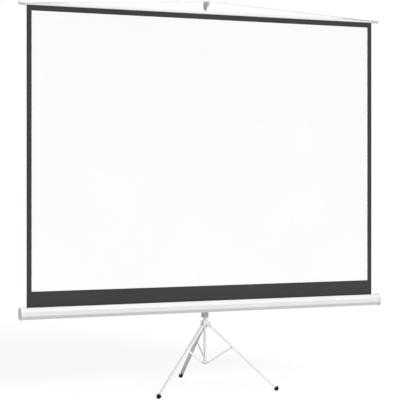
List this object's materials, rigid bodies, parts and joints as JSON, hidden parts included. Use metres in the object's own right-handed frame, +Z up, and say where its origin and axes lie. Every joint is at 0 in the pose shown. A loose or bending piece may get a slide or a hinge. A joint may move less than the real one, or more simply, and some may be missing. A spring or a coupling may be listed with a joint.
{
  "type": "tripod projection screen",
  "caption": "Pull-up projection screen: cloth wound in a long case on a telescopic mast, hooked at its top by a wire bail, standing on a folding tripod.",
  "frame": {"origin": "floor level, below the middle of the overall box", "axes": "+Z up, -Y the way the picture faces, +X to the right seen from the front"},
  "size_m": [2.17, 0.6326, 2.2005],
  "materials": {
    "white_paint": "white powder coat",
    "white_plastic": "white moulding",
    "grey_plastic": "grey moulding",
    "black_plastic": "black moulding",
    "black_rubber": "matt",
    "steel": "zinc plated",
    "aluminium": "satin anodised",
    "screen_vinyl": "matt white coated cloth with dark borders and back"
  },
  "bodies": {
    "stand_hub": {"leg_hub": "white_plastic", "hub_bush": "grey_plastic", "leg_pin_rear": "steel", "leg_pin_left": "steel", "leg_pin_right": "steel", "screen_cloth": "screen_vinyl"},
    "mast": {"mast_tube": "white_paint", "mast_end_plug": "white_plastic", "brace_collar": "white_plastic", "brace_collar_rivet_rear": "steel", "brace_collar_rivet_left": "steel", "brace_collar_rivet_right": "steel", "mast_top_collar": "grey_plastic"},
    "rod": {"extension_rod": "aluminium", "rod_guide_bush": "black_plastic", "hook_head": "white_plastic", "hook_pin": "steel", "hem_rod": "steel", "top_slat": "white_paint", "slat_cap_left": "white_plastic", "slat_cap_right": "white_plastic", "bail": "steel"},
    "rod_knob": {"rod_lock_knob": "black_plastic"},
    "case": {"case_carrier": "white_plastic", "swivel_plate": "steel", "swivel_stud": "steel", "case_shell": "white_paint", "case_cap_left": "white_plastic", "case_cap_right": "white_plastic", "roller_spindle": "steel", "torsion_spring": "steel"},
    "case_knob": {"case_lock_knob": "black_plastic"},
    "roller": {"roller_tube": "aluminium", "roller_plug_left": "white_plastic", "roller_plug_right": "white_plastic", "cloth_turns": "screen_vinyl"},
    "rear_leg": {"leg_rear": "white_paint", "foot_rear": "black_rubber"},
    "rear_brace": {"brace_rear": "white_paint", "brace_leg_rivet_rear": "steel"},
    "left_leg": {"leg_left": "white_paint", "foot_left": "black_rubber"},
    "left_brace": {"brace_left": "white_paint", "brace_leg_rivet_left": "steel"},
    "right_leg": {"leg_right": "white_paint", "foot_right": "black_rubber"},
    "right_brace": {"brace_right": "white_paint", "brace_leg_rivet_right": "steel"}
  },
  "joints": [
    {"name": "mast_slide", "type": "slide", "parent": "stand_hub", "child": "mast", "axis": [0, 0, -1], "range_m": [0, 0.1252], "deforming": ["screen_cloth"]},
    {"name": "rod_extension", "type": "slide", "parent": "mast", "child": "rod", "axis": [0, 0, 1], "range_m": [-0.86, 0], "deforming": ["screen_cloth"]},
    {"name": "rod_lock_turn", "type": "hinge", "parent": "mast", "child": "rod_knob", "pos_m": [0, -0.10115, 1.22201], "axis": [0, 1, 0], "range_deg": [0, 360]},
    {"name": "case_height", "type": "slide", "parent": "stand_hub", "child": "case", "axis": [0, 0, 1], "range_m": [0, 0.5], "deforming": ["screen_cloth"]},
    {"name": "case_lock_turn", "type": "hinge", "parent": "case", "child": "case_knob", "pos_m": [0, -0.10115, 0.42151], "axis": [0, 1, 0], "range_deg": [0, 360]},
    {"name": "roller_turn", "type": "hinge", "parent": "case", "child": "roller", "pos_m": [0, -0.16415, 0.47351], "axis": [1, 0, 0], "range_deg": [-3522, 2]},
    {"name": "leg_fold_rear", "type": "hinge", "parent": "stand_hub", "child": "rear_leg", "pos_m": [0, -0.07115, 0.35451], "axis": [-1, 0, 0], "range_deg": [0, 44.45]},
    {"name": "brace_fold_rear", "type": "hinge", "parent": "mast", "child": "rear_brace", "pos_m": [0, -0.08115, 0.15201], "axis": [1, 0, 0], "range_deg": [0, 49.9]},
    {"name": "leg_fold_left", "type": "hinge", "parent": "stand_hub", "child": "left_leg", "pos_m": [-0.02598, -0.11615, 0.35451], "axis": [0.5, -0.866, 0], "range_deg": [0, 44.45]},
    {"name": "brace_fold_left", "type": "hinge", "parent": "mast", "child": "left_brace", "pos_m": [-0.01732, -0.11115, 0.15201], "axis": [-0.5, 0.866, 0], "range_deg": [0, 49.9]},
    {"name": "leg_fold_right", "type": "hinge", "parent": "stand_hub", "child": "right_leg", "pos_m": [0.02598, -0.11615, 0.35451], "axis": [0.5, 0.866, 0], "range_deg": [0, 44.45]},
    {"name": "brace_fold_right", "type": "hinge", "parent": "mast", "child": "right_brace", "pos_m": [0.01732, -0.11115, 0.15201], "axis": [-0.5, -0.866, 0], "range_deg": [0, 49.9]}
  ],
  "couplings": [
    {"joint": "roller_turn", "follows": "rod_extension", "rad_per_m": 71.43},
    {"joint": "leg_fold_rear", "follows": "mast_slide", "rad_per_m": 6.1895},
    {"joint": "brace_fold_rear", "follows": "mast_slide", "rad_per_m": 6.9492},
    {"joint": "leg_fold_left", "follows": "mast_slide", "rad_per_m": 6.1895},
    {"joint": "brace_fold_left", "follows": "mast_slide", "rad_per_m": 6.9492},
    {"joint": "leg_fold_right", "follows": "mast_slide", "rad_per_m": 6.1895},
    {"joint": "brace_fold_right", "follows": "mast_slide", "rad_per_m": 6.9492}
  ]
}
